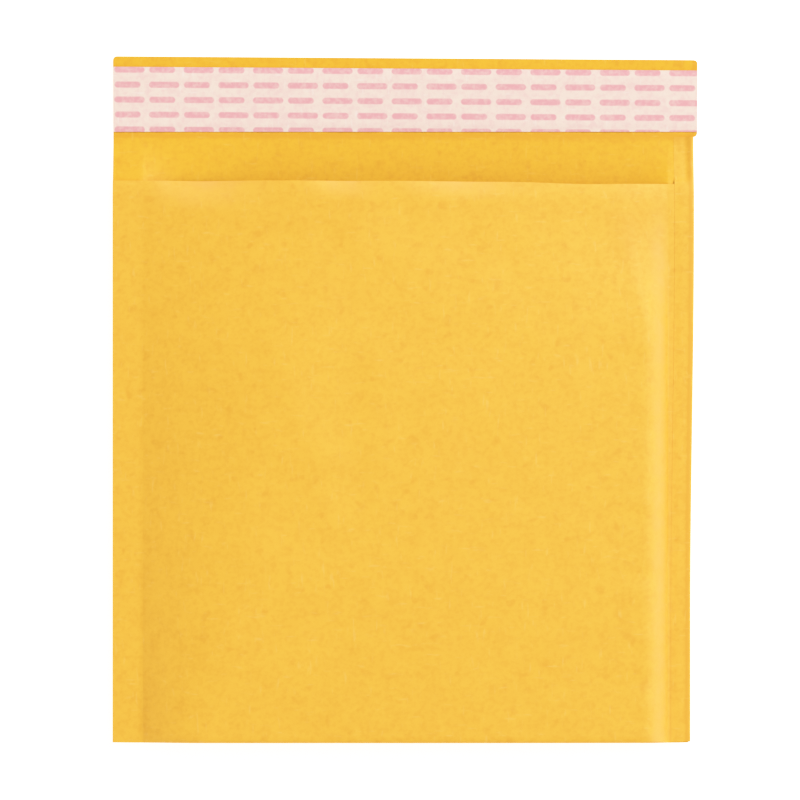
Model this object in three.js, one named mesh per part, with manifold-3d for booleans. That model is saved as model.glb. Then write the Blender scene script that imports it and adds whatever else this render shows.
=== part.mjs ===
// A padded mailing envelope, lying on its back with its flap laid open.
// Millimetres. X runs across it, Y from the bottom fold to the end of the flap, Z up.
// The origin is the middle of the bounding box's base.
import * as THREE from "three";
import { mergeVertices } from "three/addons/utils/BufferGeometryUtils.js";
import Module from "manifold-3d";

const wasm = await Module();
wasm.setup();

// Outline, seen from above
const BOTTOM_FOLD_Y = -108.75;
const FLAP_END_Y = 108.75;
const MOUTH_Y = 69.3;
const SLANT = 1.2; // the mouth and the flap's end are cut this much lower at the right
const LIP_DIP = 0.5; // the mouth's cut edge sags this much at one place
const LIP_DIP_X = 57;
const LIP_DIP_WIDTH = 15;
const SCORE_Y = 83.3; // where the flap begins
const LEFT_X = -92.7;
const FLAP_RIGHT_X = 92.7;
const BODY_RIGHT_X = 91.5;
const DRAWN_IN = 1.2; // the body's right edge is this much further in at the bottom
const DRAWN_IN_FROM_Y = 55;
const DRAWN_IN_TO_Y = -70;
const CUSHION_X = 83.2; // the padding ends and the flat side margins begin
const CORNER = 1.2; // the flap's corners

// Sheets
const PAPER = 0.2;
const FILM = 0.3; // two plies of film, welded together in the margins
const CUSHION = 2.4; // bubble film at its full thickness
const AIR = 0.05; // between the paper and the film
const MARGIN_STACK = 2 * PAPER + 2 * AIR + FILM;

// Section of the padded body
const CROWN = 11.9;
const CROWN_AT_FOLD = 10.8;
const CROWN_AT_MOUTH = 10.2;
const CROWN_RISE = 0.4; // share of the length over which the crown rises from the fold
const CROWN_FALLS_FROM = 0.55; // and the share from which it falls again towards the mouth
const LEFT_SHOULDER_AT = [0, 0.12, 0.4, 0.7, 0.9, 1]; // shares of the length, from the fold
const LEFT_SHOULDER = [22, 28, 46, 54, 78, 82]; // widths of the long slope there
const LEFT_POWER = 2;
const RIGHT_SHOULDER = 7; // the slope on the right is short and steep
const RIGHT_SHOULDER_AT_MOUTH = 16;
const RIGHT_SOFTENS_FROM = 0.72; // share of the length from which it softens towards the mouth
const RIGHT_SOFT_AT = 0.94; // and the share from which it is as soft as at the mouth
const RIGHT_POWER = 1.6;
const RIGHT_EASE = 0.26; // the crown falls by this share on its way to the right
const RIGHT_EASE_AT_MOUTH = 0.72;
const REAR_SHOULDER = 14;
const SEAM_LIFT = 3.0; // the margins leave the floor by this much beside the padding
const EDGE_LIFT = 2.5; // and by this much at the cut edge
const FOLD_DEPTH = 2.4; // how far the blunt bottom fold reaches along Y
const FOLD_SLENDER = 0.8; // its depth is at most this share of its half height
const FOLD_MOST_INSET = 0.85; // share of its depth that the sheets inside it may take
const FOLD_POWER = 0.42; // a superellipse, squarer than a round
const FOLD_RECESS = 0.25; // the padded middle of the fold is drawn in this much
const FILM_SHARE = 0.44; // of the room at a squeezed place, for each layer of padding

// Mouth
const LINING_SETBACK = 4; // the front padding ends this far inside the mouth
const REAR_LINING_SETBACK = 0.5; // and the rear padding this far
const FLAT_FILM_FROM = 1.5; // the rear film has no bubbles from here on
const DROOP = 0.3; // the front lip sinks this much everywhere
const DROOP_LENGTH = 5;
const SETTLE_LENGTH = 6; // the rear panel starts to settle on the floor this far inside the mouth
const SOFT_FROM_WELD = 9; // no droop at the welds, all of it from here on
const SOFT_PLACES = [
  { x: -63, width: 13, depth: 3.4, length: 10 },
  { x: -19, width: 8, depth: 1.9, length: 6 },
  { x: 19, width: 14, depth: 1.5, length: 6 },
];

// Right margin, turned over onto the front
const TURN_RADIUS = 0.55;
const TURN_ROOM = 0.7; // the plies inside the turn stop this far short of its edge
const TURN_WIDTH = 6.2;
const TURN_FLATS = [0.4, 1]; // shares of its width, from the turn to its free edge
const TURN_DROP = 2; // past the mouth, the strip comes down from the front to the band in this

// Flap
const FLAP_LIFT = 1.5;
const FLAP_LIFT_POWER = 1.6;
const LINER_LOW_Y = 84.9;
const LINER_TOP_MARGIN = 3.3; // bare paper between the liner and the flap's end
const LINER_THICK = 0.1;
const ADHESIVE_THICK = 0.3;
const ADHESIVE_INSET = 3.2; // from the liner's long edges
const ADHESIVE_END_INSET = 1.5;
const STRIP_AIR = 0.05;

const clamp01 = (t) => Math.min(1, Math.max(0, t));
const smooth = (t) => clamp01(t) ** 2 * (3 - 2 * clamp01(t));
const lerp = THREE.MathUtils.lerp;
const signedPower = (t, power) => Math.sign(t) * Math.abs(t) ** power;

const slantAt = (x) => (SLANT * (x - LEFT_X)) / (FLAP_RIGHT_X - LEFT_X);
const lipDip = (x) => LIP_DIP * Math.exp(-(((x - LIP_DIP_X) / LIP_DIP_WIDTH) ** 2));
const mouthY = (x) => MOUTH_Y - slantAt(x) - lipDip(x);
const flapEndY = (x) => FLAP_END_Y - slantAt(x);
const bodyRightX = (y) =>
  BODY_RIGHT_X - DRAWN_IN * smooth((DRAWN_IN_FROM_Y - y) / (DRAWN_IN_FROM_Y - DRAWN_IN_TO_Y));

// Share of the panel's length, from 0 at the bottom fold to 1 at the mouth
const PANEL_LENGTH = MOUTH_Y - BOTTOM_FOLD_Y - FOLD_DEPTH;
const alongPanel = (y) => clamp01((y - BOTTOM_FOLD_Y - FOLD_DEPTH) / PANEL_LENGTH);

function crownHeight(y) {
  const along = alongPanel(y);
  const rise = 1 - (1 - clamp01(along / CROWN_RISE)) ** 2;
  const towardsMouth = smooth((along - CROWN_FALLS_FROM) / (1 - CROWN_FALLS_FROM));
  return CROWN_AT_FOLD + (CROWN - CROWN_AT_FOLD) * rise - (CROWN - CROWN_AT_MOUTH) * towardsMouth;
}

function leftShoulderWidth(along) {
  let i = 1;
  while (i + 1 < LEFT_SHOULDER_AT.length && along > LEFT_SHOULDER_AT[i]) i += 1;
  const [from, to] = [LEFT_SHOULDER_AT[i - 1], LEFT_SHOULDER_AT[i]];
  return lerp(LEFT_SHOULDER[i - 1], LEFT_SHOULDER[i], (along - from) / (to - from));
}

// How far the front has risen from the margin, 0 to 1, at a place across the width
function shoulder(x, y) {
  const along = alongPanel(y);
  if (x < 0) return 1 - (1 - clamp01((CUSHION_X + x) / leftShoulderWidth(along))) ** LEFT_POWER;
  const softened = smooth((along - RIGHT_SOFTENS_FROM) / (RIGHT_SOFT_AT - RIGHT_SOFTENS_FROM));
  const width = lerp(RIGHT_SHOULDER, RIGHT_SHOULDER_AT_MOUTH, softened);
  const eased = 1 - lerp(RIGHT_EASE, RIGHT_EASE_AT_MOUTH, softened) * clamp01(x / CUSHION_X) ** 2;
  return eased * (1 - (1 - clamp01((CUSHION_X - x) / width)) ** RIGHT_POWER);
}

// Underside of the rear panel, the band above the mouth and the flap
function rearHeight(x, y) {
  const outside = clamp01((Math.abs(x) - CUSHION_X) / (-LEFT_X - CUSHION_X));
  const inside = clamp01((CUSHION_X - Math.abs(x)) / REAR_SHOULDER);
  const lifted = lerp(SEAM_LIFT, EDGE_LIFT, outside) * (1 - inside) ** 2;
  const settled = smooth((y - mouthY(x) + SETTLE_LENGTH) / (SCORE_Y - MOUTH_Y + SETTLE_LENGTH));
  const raised = clamp01((y - SCORE_Y) / (FLAP_END_Y - SCORE_Y)) ** FLAP_LIFT_POWER;
  return lifted * (1 - settled) + FLAP_LIFT * raised;
}

// Upper face of the front panel
function frontHeight(x, y) {
  const seamX = Math.sign(x) * Math.max(Math.abs(x), CUSHION_X);
  const seam = rearHeight(seamX, y) + MARGIN_STACK;
  const fromMouth = mouthY(x) - y;
  let droop = DROOP * clamp01(1 - fromMouth / DROOP_LENGTH) ** 2;
  for (const place of SOFT_PLACES) {
    const across = Math.exp(-(((x - place.x) / place.width) ** 2));
    droop += place.depth * across * clamp01(1 - fromMouth / place.length) ** 2;
  }
  droop *= clamp01((CUSHION_X - Math.abs(x)) / SOFT_FROM_WELD);
  return seam + (crownHeight(y) - seam) * shoulder(x, y) - droop;
}

// A vertical inset is longer than the sheet's thickness where the sheet slopes
function slopeFactor(height, x, y) {
  const step = 0.5;
  const alongX = (height(x + step, y) - height(x - step, y)) / (2 * step);
  const alongY = (height(x, y + step) - height(x, y - step)) / (2 * step);
  return Math.hypot(1, alongX, alongY);
}

// Columns across the width: fixed ones over the padding, and shares of each margin
const LEFT_STEPS = [0, 1, 3, 7, 14, 24, 38]; // from the left weld
const RIGHT_STEPS = [0, 1, 2.5, 4.5, 7, 14, 28]; // from the right weld
const MIDDLE_STEPS = 10;
const MARGIN_SHARES = [0.5, 1];

function makeColumns() {
  const left = LEFT_STEPS.map((step) => ({ x: step - CUSHION_X }));
  const right = RIGHT_STEPS.map((step) => ({ x: CUSHION_X - step })).reverse();
  const start = left[left.length - 1].x;
  const middle = [];
  for (let i = 1; i < MIDDLE_STEPS; i++)
    middle.push({ x: lerp(start, right[0].x, i / MIDDLE_STEPS) });
  const leftMargin = MARGIN_SHARES.map((share) => ({ margin: -1, share })).reverse();
  const rightMargin = MARGIN_SHARES.map((share) => ({ margin: 1, share }));
  return [...leftMargin, ...left, ...middle, ...right, ...rightMargin];
}

function columnX(column, y) {
  if (!column.margin) return column.x;
  if (column.margin < 0) return lerp(-CUSHION_X, LEFT_X, column.share);
  const edge = y > SCORE_Y ? FLAP_RIGHT_X : bodyRightX(y) - TURN_ROOM;
  return lerp(CUSHION_X, edge, column.share);
}

// Rows around the body: distances from the mouth on the two panels, angles round the fold
const PANEL_STEPS = [10, 22, 40, 62, 86, 110, 134, 154, 168];
const FOLD_STEPS = 6;
const foldRows = Array.from({ length: FOLD_STEPS + 1 }, (_, i) => ({
  part: "fold",
  at: (Math.PI * i) / FOLD_STEPS,
}));

function bodyRows(frontStart, rearEnd) {
  const front = [...frontStart, ...PANEL_STEPS].map((at) => ({ part: "front", at }));
  const rear = [...PANEL_STEPS].reverse().concat(rearEnd).map((at) => ({ part: "rear", at }));
  return [...front, ...foldRows, ...rear];
}

// Half height, middle height, depth and start of the fold in one column
function foldOf(x) {
  const y = BOTTOM_FOLD_Y + FOLD_DEPTH;
  const half = (frontHeight(x, y) - rearHeight(x, y)) / 2;
  const depth = Math.min(FOLD_DEPTH, FOLD_SLENDER * half);
  const startY = BOTTOM_FOLD_Y + depth + FOLD_RECESS * shoulder(x, y);
  return { half, middle: rearHeight(x, y) + half, depth, startY };
}

// How deep a face lies under the front's upper face or above the rear's underside
const outerFace = () => 0;
const paperInside = (factor) => PAPER * factor;
const filmOutside = (factor) => (PAPER + AIR) * factor;

function filmInside(factor, x, y, row) {
  const bothFactors = slopeFactor(frontHeight, x, y) + slopeFactor(rearHeight, x, y);
  const room = frontHeight(x, y) - rearHeight(x, y) - (PAPER + AIR) * bothFactors;
  const flat = row.part === "rear" && row.at <= FLAT_FILM_FROM;
  return filmOutside(factor) + Math.min(flat ? FILM : CUSHION, FILM_SHARE * room);
}

// The point of a column and a row on one face of a sheet
function bodyPoint(column, row, depthOf) {
  const nearX = columnX(column, MOUTH_Y);
  const fold = foldOf(nearX);
  const foldY = fold.startY;
  const reach = (mouthY(nearX) - foldY) / PANEL_LENGTH;
  if (row.part !== "fold") {
    const y = mouthY(nearX) - row.at * reach;
    const x = columnX(column, y);
    if (row.part === "front") {
      const depth = depthOf(slopeFactor(frontHeight, x, y), x, y, row);
      return new THREE.Vector3(x, y, frontHeight(x, y) - depth);
    }
    const depth = depthOf(slopeFactor(rearHeight, x, y), x, y, row);
    return new THREE.Vector3(x, y, rearHeight(x, y) + depth);
  }
  const x = columnX(column, BOTTOM_FOLD_Y);
  const upper = Math.cos(row.at) >= 0;
  const factor = slopeFactor(upper ? frontHeight : rearHeight, x, foldY);
  const tall = fold.half - depthOf(factor, x, foldY, row);
  const deep = fold.depth - Math.min(depthOf(1, x, foldY, row), FOLD_MOST_INSET * fold.depth);
  return new THREE.Vector3(
    x,
    foldY - deep * signedPower(Math.sin(row.at), FOLD_POWER),
    fold.middle + tall * signedPower(Math.cos(row.at), FOLD_POWER),
  );
}

// A solid from a list of points and triangles, turned so that its faces point out
function closedGeometry(points, triangles) {
  const flat = points.flatMap((p) => [p.x, p.y, p.z]);
  let volume = 0;
  for (const [a, b, c] of triangles)
    volume += points[a].dot(new THREE.Vector3().crossVectors(points[b], points[c]));
  const index = triangles.flatMap(([a, b, c]) => (volume < 0 ? [a, c, b] : [a, b, c]));
  const geometry = new THREE.BufferGeometry();
  geometry.setAttribute("position", new THREE.Float32BufferAttribute(flat, 3));
  return geometry.setIndex(index);
}

// A bent sheet between two grids of points, [column][row]. A missing point leaves its cells out.
function sheet(outer, inner) {
  const points = [];
  const ids = outer.map((line, i) =>
    line.map((p, j) => (p ? [points.push(p) - 1, points.push(inner[i][j]) - 1] : null)),
  );
  const hasCell = (i, j) =>
    Boolean(ids[i]?.[j] && ids[i + 1]?.[j] && ids[i]?.[j + 1] && ids[i + 1]?.[j + 1]);
  const triangles = [];
  const quad = (a, b, c, d) => triangles.push([a, b, c], [a, c, d]);
  const wall = (p, q) => quad(p[0], p[1], q[1], q[0]);
  for (let i = 0; i + 1 < ids.length; i++)
    for (let j = 0; j + 1 < ids[i].length; j++) {
      if (!hasCell(i, j)) continue;
      const [a, b, c, d] = [ids[i][j], ids[i + 1][j], ids[i + 1][j + 1], ids[i][j + 1]];
      quad(a[0], b[0], c[0], d[0]);
      triangles.push([a[1], c[1], b[1]], [a[1], d[1], c[1]]);
      if (!hasCell(i, j - 1)) wall(a, b);
      if (!hasCell(i + 1, j)) wall(b, c);
      if (!hasCell(i, j + 1)) wall(c, d);
      if (!hasCell(i - 1, j)) wall(d, a);
    }
  return closedGeometry(points, triangles);
}

// A full body from a grid of points that runs round the fold, closed at the mouth and sides
function pillow(grid) {
  const rows = grid[0].length;
  const points = grid.flat();
  const id = (i, j) => i * rows + j;
  const triangles = [];
  for (let i = 0; i + 1 < grid.length; i++)
    for (let j = 0; j < rows; j++) {
      const next = (j + 1) % rows;
      triangles.push([id(i, j), id(i + 1, j), id(i + 1, next)]);
      triangles.push([id(i, j), id(i + 1, next), id(i, next)]);
    }
  const capAt = (i, withOutline) => {
    let front = 0;
    let rear = rows - 1;
    while (rear - front > 1) {
      const alongFront = grid[i][front + 1].y > grid[i][rear - 1].y;
      const third = alongFront ? front + 1 : rear - 1;
      const corners = withOutline ? [front, third, rear] : [front, rear, third];
      triangles.push(corners.map((j) => id(i, j)));
      if (alongFront) front = third;
      else rear = third;
    }
  };
  capAt(0, true);
  capAt(grid.length - 1, false);
  return closedGeometry(points, triangles);
}

const MERGE_WITHIN = 1e-4;

function toSolid(geometry) {
  const merged = mergeVertices(geometry, MERGE_WITHIN);
  const mesh = new wasm.Mesh({
    numProp: 3,
    vertProperties: merged.attributes.position.array,
    triVerts: new Uint32Array(merged.index.array),
  });
  return new wasm.Manifold(mesh);
}

function toGeometry(solid) {
  const mesh = solid.getMesh();
  const geometry = new THREE.BufferGeometry();
  geometry.setAttribute("position", new THREE.BufferAttribute(mesh.vertProperties, 3));
  return geometry.setIndex(new THREE.BufferAttribute(mesh.triVerts, 1));
}

// Rows where the padding ends. The paper and the film share them, so that they stay apart.
const REAR_MOUTH_STEPS = [LINING_SETBACK, FLAT_FILM_FROM, REAR_LINING_SETBACK];

// The outer paper: front panel, fold, rear panel, band above the mouth and flap, in one sheet
const BAND_STEPS = [-TURN_DROP - REAR_LINING_SETBACK, -9];
const FLAP_SHARES = [0.02, 0.2, 0.4, 0.6, 0.8, 0.95, 1];
const TURN_ANGLES = 4;

function flapPoint(column, row, depthOf) {
  const nearX = columnX(column, FLAP_END_Y);
  const y = lerp(SCORE_Y, flapEndY(nearX), row.at);
  const cornerCut = row.at === 1 && column.share === 1 ? CORNER * column.margin : 0;
  const x = columnX(column, row.at > 0 ? FLAP_END_Y : SCORE_Y) - cornerCut;
  return new THREE.Vector3(x, y, rearHeight(x, y) + depthOf(1));
}

// The turned margin continues the rear panel: round the edge, then flat over the front ply
function turnedPoint(step, y, depthOf) {
  const centreX = bodyRightX(y) - TURN_RADIUS;
  const depth = depthOf(1);
  if (step <= TURN_ANGLES) {
    const angle = Math.PI * (step / TURN_ANGLES - 0.5);
    const radius = TURN_RADIUS - depth;
    const height = rearHeight(centreX, y) + TURN_RADIUS + radius * Math.sin(angle);
    return new THREE.Vector3(centreX + radius * Math.cos(angle), y, height);
  }
  const share = TURN_FLATS[step - TURN_ANGLES - 1];
  const x = centreX - (TURN_WIDTH - TURN_RADIUS) * share;
  const pastMouth = smooth((y - mouthY(centreX)) / TURN_DROP);
  const top = lerp(MARGIN_STACK, PAPER, pastMouth) + AIR + PAPER;
  return new THREE.Vector3(x, y, rearHeight(x, y) + top - depth);
}

function kraftGrid(depthOf) {
  const body = bodyRows([0, LINING_SETBACK / 2, LINING_SETBACK], [...REAR_MOUTH_STEPS, ...BAND_STEPS]);
  const flap = [0, ...FLAP_SHARES].map((at) => ({ part: "flap", at }));
  const rows = [...body, ...flap];
  const grid = makeColumns().map((column) =>
    rows.map((row) => (row.part === "flap" ? flapPoint : bodyPoint)(column, row, depthOf)),
  );
  const lastColumn = grid[grid.length - 1];
  const lastFold = foldRows[foldRows.length - 1];
  const isTurned = (row) =>
    row === lastFold || row.part === "rear" || (row.part === "flap" && row.at === 0);
  for (let step = 0; step <= TURN_ANGLES + TURN_FLATS.length; step++)
    grid.push(
      rows.map((row, j) => (isTurned(row) ? turnedPoint(step, lastColumn[j].y, depthOf) : null)),
    );
  return grid;
}

const kraftGeometry = sheet(kraftGrid(outerFace), kraftGrid(paperInside));

// The padding: everything inside the paper, less the pocket
const columns = makeColumns();
const PAST_MOUTH = -4; // the pocket is cut out to this far beyond the mouth
const liningRows = bodyRows([LINING_SETBACK], REAR_MOUTH_STEPS);
const pocketEnd = [...REAR_MOUTH_STEPS, PAST_MOUTH]; // alike on both sides, so that they can't cross
const pocketRows = bodyRows([...pocketEnd].reverse(), pocketEnd);
const paddedColumns = columns.filter((column) => !column.margin);
const gridOf = (cols, rows, depthOf) => cols.map((c) => rows.map((r) => bodyPoint(c, r, depthOf)));
const outside = toSolid(pillow(gridOf(columns, liningRows, filmOutside)));
const pocket = toSolid(pillow(gridOf(paddedColumns, pocketRows, filmInside)));
const liningGeometry = toGeometry(outside.subtract(pocket));

// A strip that lies over the flap, following its lift
const STRIP_ROWS = 4;

function flapStrip(leftX, rightX, lowY, highY, lift, thickness) {
  const face = (extra) =>
    [leftX, rightX].map((x) =>
      Array.from({ length: STRIP_ROWS + 1 }, (_, j) => {
        const y = lerp(lowY, highY(x), j / STRIP_ROWS);
        return new THREE.Vector3(x, y, rearHeight(x, y) + PAPER + lift + extra);
      }),
    );
  return sheet(face(thickness), face(0));
}

const linerTop = (x) => flapEndY(x) - LINER_TOP_MARGIN;
const adhesiveGeometry = flapStrip(
  LEFT_X + ADHESIVE_END_INSET,
  FLAP_RIGHT_X - ADHESIVE_END_INSET,
  LINER_LOW_Y + ADHESIVE_INSET,
  (x) => linerTop(x) - ADHESIVE_INSET,
  STRIP_AIR,
  ADHESIVE_THICK,
);
const linerGeometry = flapStrip(
  LEFT_X,
  FLAP_RIGHT_X,
  LINER_LOW_Y,
  linerTop,
  2 * STRIP_AIR + ADHESIVE_THICK,
  LINER_THICK,
);

const kraftPaper = new THREE.MeshStandardMaterial({
  color: 0xf2bd4b,
  roughness: 0.85,
  metalness: 0,
  side: THREE.DoubleSide,
});
const bubbleFilm = new THREE.MeshStandardMaterial({
  color: 0xe8edf0,
  roughness: 0.25,
  metalness: 0,
  transparent: true,
  opacity: 0.6,
});
const hotMelt = new THREE.MeshStandardMaterial({ color: 0xe6cf8a, roughness: 0.35, metalness: 0 });
const linerPaper = new THREE.MeshStandardMaterial({ color: 0xf9e4d8, roughness: 0.5, metalness: 0 });

const envelope = new THREE.Group();

function addPiece(name, geometry, material) {
  const piece = new THREE.Mesh(geometry, material);
  piece.name = name;
  envelope.add(piece);
}

addPiece("kraft_outer", kraftGeometry, kraftPaper);
addPiece("bubble_lining", liningGeometry, bubbleFilm);
addPiece("adhesive_strip", adhesiveGeometry, hotMelt);
addPiece("release_liner", linerGeometry, linerPaper);

export default envelope;
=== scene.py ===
# %% [markdown]
# # A padded envelope, laid open on its back
#
# The real object is one sheet of golden kraft paper, folded once at the bottom and
# welded along both sides, with a sheet of bubble film inside. The flap is laid open,
# and a peel-off liner still covers the adhesive on it.
#
# The construction model gives sizes and places. This lesson gives each of the four
# pieces a fine surface and a finish, lights them softly, and looks straight down on
# them, as one does at an envelope on a table.

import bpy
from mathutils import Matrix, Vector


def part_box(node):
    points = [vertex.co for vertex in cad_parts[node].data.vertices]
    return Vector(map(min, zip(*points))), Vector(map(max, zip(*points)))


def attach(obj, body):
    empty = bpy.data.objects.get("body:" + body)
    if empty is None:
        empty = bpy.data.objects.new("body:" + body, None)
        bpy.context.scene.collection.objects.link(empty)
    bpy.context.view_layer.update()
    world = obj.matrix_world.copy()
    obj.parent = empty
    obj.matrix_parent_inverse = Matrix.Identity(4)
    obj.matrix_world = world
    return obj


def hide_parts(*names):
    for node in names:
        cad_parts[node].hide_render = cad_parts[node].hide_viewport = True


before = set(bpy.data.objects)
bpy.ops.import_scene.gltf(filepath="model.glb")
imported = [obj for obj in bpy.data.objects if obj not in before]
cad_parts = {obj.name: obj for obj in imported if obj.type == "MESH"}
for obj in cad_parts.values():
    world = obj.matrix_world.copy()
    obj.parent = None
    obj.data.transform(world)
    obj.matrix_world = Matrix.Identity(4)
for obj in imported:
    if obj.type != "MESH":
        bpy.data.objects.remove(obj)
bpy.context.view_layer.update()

# %% [markdown]
# ## Sizes
#
# Paper is thin, so millimetres are the handy unit for all that follows, and the
# points are turned into metres only when a mesh is made. The outline comes from the
# construction model's own boxes. The few sizes that a box can't tell, such as where
# the mouth is, are named here with the values that the construction uses.

# %% Driving sizes, in millimetres
import bpy
import numpy as np
from mathutils import Vector

MM = 0.001

paper_low, paper_high = (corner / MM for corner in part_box("kraft_outer"))
LEFT_X, BOTTOM_FOLD_Y = paper_low.x, paper_low.y
FLAP_RIGHT_X, FLAP_END_Y = paper_high.x, paper_high.y

MOUTH_Y = 69.3
SCORE_Y = 83.3  # the flap begins here
SLANT = 1.2  # the mouth and the flap's end are cut this much lower at the right
LIP_DIP_X, LIP_DIP_WIDTH, LIP_DIP = 57, 15, 0.5  # where the mouth's cut edge sags a little
BODY_RIGHT_X = 91.5
DRAWN_IN = 1.2  # the body's right edge is this much further in at the bottom
DRAWN_IN_FROM_Y, DRAWN_IN_TO_Y = 55, -70
CUSHION_X = 83.2  # the padding ends and the flat side margins begin

PAPER = 0.2
AIR = 0.05  # between the paper and the film
MARGIN_STACK = 0.8  # two plies of paper and two of film, in the side margins

print(f"paper outline {FLAP_RIGHT_X - LEFT_X:.1f} by {FLAP_END_Y - BOTTOM_FOLD_Y:.1f} mm")

# %% [markdown]
# ## Camera
#
# The envelope is seen from straight above and its edges stay parallel, so the lens is
# long and far away. A long lens, and not an orthographic one, keeps a trace of
# perspective on the padded front, which stands a centimetre nearer the camera.

# %% Camera
LENS = 150
SENSOR = 36
VIEW_WIDTH = 253.8  # millimetres across the picture, at the height of the margins
VIEW_CENTRE = Vector((-1.66, -0.27, 1.5))

camera_data = bpy.data.cameras.new("overhead")
camera_data.lens = LENS
camera_data.sensor_width = SENSOR
camera_data.clip_end = 10
camera = bpy.data.objects.new("overhead", camera_data)
camera_height = VIEW_WIDTH * LENS / SENSOR
camera.location = (VIEW_CENTRE + Vector((0, 0, camera_height))) * MM
bpy.context.scene.collection.objects.link(camera)
bpy.context.scene.camera = camera
print(f"camera {camera_height:.0f} mm above the margins")

# %% [markdown]
# ## Light
#
# A pale room lights everything evenly, and one large soft lamp, on the right and a
# little towards the flap, gives the padded front its form: the right shoulder catches
# it and the left one turns away from it. The view transform is the plain one, with a
# soft shoulder as a real camera has: the brightest tones are pressed together before
# they reach white, so that golden paper keeps its colour in the light and in the shade.

# %% Light
ROOM_STRENGTH = 0.79
ROOM_COLOUR = (1, 0.98, 0.95, 1)
LAMP_PLACE = Vector((2.2, 1.95, 2.9))
LAMP_SIZE = 2.1
LAMP_POWER = 130
LAMP_COLOUR = (0.975, 1, 1.03)

# Light that comes in, and how much of it the picture shows
RESPONSE = [(0.7, 0.7), (0.93, 0.863), (1.1, 0.939), (1.25, 0.98)]
WHITE_FROM = 1.5

scene = bpy.context.scene
scene.view_settings.view_transform = "Standard"
scene.view_settings.look = "None"
scene.view_settings.use_curve_mapping = True
response = scene.view_settings.curve_mapping
response.white_level = (WHITE_FROM,) * 3
for came_in, shown in RESPONSE:
    response.curves[3].points.new(came_in / WHITE_FROM, shown)
response.update()

world = bpy.data.worlds.new("pale room")
world.use_nodes = True
world.node_tree.nodes["Background"].inputs["Color"].default_value = ROOM_COLOUR
world.node_tree.nodes["Background"].inputs["Strength"].default_value = ROOM_STRENGTH
scene.world = world

lamp_data = bpy.data.lights.new("soft lamp", "AREA")
lamp_data.size = LAMP_SIZE
lamp_data.energy = LAMP_POWER
lamp_data.color = LAMP_COLOUR
lamp = bpy.data.objects.new("soft lamp", lamp_data)
lamp.location = LAMP_PLACE
lamp.rotation_euler = LAMP_PLACE.to_track_quat("Z", "Y").to_euler()
scene.collection.objects.link(lamp)
print("lamp is", round(LAMP_PLACE.length, 2), "m away")

# %% [markdown]
# ## Node helpers
#
# Shader and geometry trees are both built by adding nodes and linking them. One
# helper adds a node and fills its inputs, with a value or with another node's output,
# and a second one does arithmetic. They keep each recipe below short.

# %% Node helpers
def node(tree, kind, inputs=None, **settings):
    """Adds a node, sets its options, and fills its inputs with values or links."""
    made = tree.nodes.new(kind)
    for name, value in settings.items():
        setattr(made, name, value)
    for key, value in (inputs or {}).items():
        if isinstance(value, bpy.types.NodeSocket):
            tree.links.new(value, made.inputs[key])
        else:
            made.inputs[key].default_value = value
    return made


def calc(tree, operation, *values, clamp=False):
    """One step of arithmetic, which gives back its output."""
    inputs = dict(enumerate(values))
    return node(tree, "ShaderNodeMath", inputs, operation=operation, use_clamp=clamp).outputs[0]


def ramp(tree, value, low, high):
    """0 where value is low or less, 1 where it is high or more, smooth between."""
    inputs = {"Value": value, "From Min": low, "From Max": high}
    made = node(tree, "ShaderNodeMapRange", inputs, interpolation_type="SMOOTHSTEP")
    return made.outputs["Result"]


def blend(tree, factor, first, second):
    """A colour between two colours."""
    inputs = {"Factor": factor, 6: first, 7: second}
    return node(tree, "ShaderNodeMix", inputs, data_type="RGBA").outputs[2]


def socket(tree, name, kind, direction="INPUT", value=None):
    """Adds a named input or output to a node group."""
    made = tree.interface.new_socket(name, in_out=direction, socket_type="NodeSocket" + kind)
    if value is not None:
        made.default_value = value


def new_material(name):
    """A material with its tree and its Principled shader."""
    material = bpy.data.materials.new(name)
    material.use_nodes = True
    return material, material.node_tree, material.node_tree.nodes["Principled BSDF"]


# %% [markdown]
# ## Floor
#
# The floor is a wide pale sheet, just under the envelope. A faint cloudiness keeps it
# from being a dead flat tone, and it glows a little, like a light table, so that the
# envelope's shadow stays pale.

# %% Floor
FLOOR_HALF = 1.6  # metres
FLOOR_DROP = 0.0002
FLOOR_GLOW = 0.8

floor_mesh = bpy.data.meshes.new("floor")
corners = [(-1, -1), (1, -1), (1, 1), (-1, 1)]
floor_points = [(x * FLOOR_HALF, y * FLOOR_HALF, -FLOOR_DROP) for x, y in corners]
floor_mesh.from_pydata(floor_points, [], [(0, 1, 2, 3)])
floor = bpy.data.objects.new("floor", floor_mesh)
scene.collection.objects.link(floor)

pale, tree, shader = new_material("pale floor")
place = node(tree, "ShaderNodeTexCoord").outputs["Object"]
clouds = node(tree, "ShaderNodeTexNoise", {"Vector": place, "Scale": 9, "Detail": 3}).outputs["Fac"]
tone = blend(tree, clouds, (0.935, 0.935, 0.93, 1), (0.965, 0.965, 0.96, 1))
tree.links.new(tone, shader.inputs["Base Color"])
tree.links.new(tone, shader.inputs["Emission Color"])
shader.inputs["Emission Strength"].default_value = FLOOR_GLOW
shader.inputs["Roughness"].default_value = 0.9
floor_mesh.materials.append(pale)
print("floor laid", FLOOR_DROP / MM, "mm under the envelope")

# %% [markdown]
# ## The shape as two heights
#
# Seen from above, the envelope is two heights over each place: the underside of the
# rear panel, and the top of the front panel. The rear lies flat, but the padding pulls
# the welded margins a little off the table. The front rises from each margin over a
# shoulder to a broad crown, which is lower near the bottom fold. These are the
# construction model's own rules, and they work on whole arrays of points at once.

# %% Outline and heights
CROWN, CROWN_AT_FOLD, CROWN_AT_MOUTH = 11.9, 10.8, 10.2
CROWN_RISE = 0.4  # share of the length over which the crown rises from the fold
CROWN_FALLS_FROM = 0.55
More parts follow.
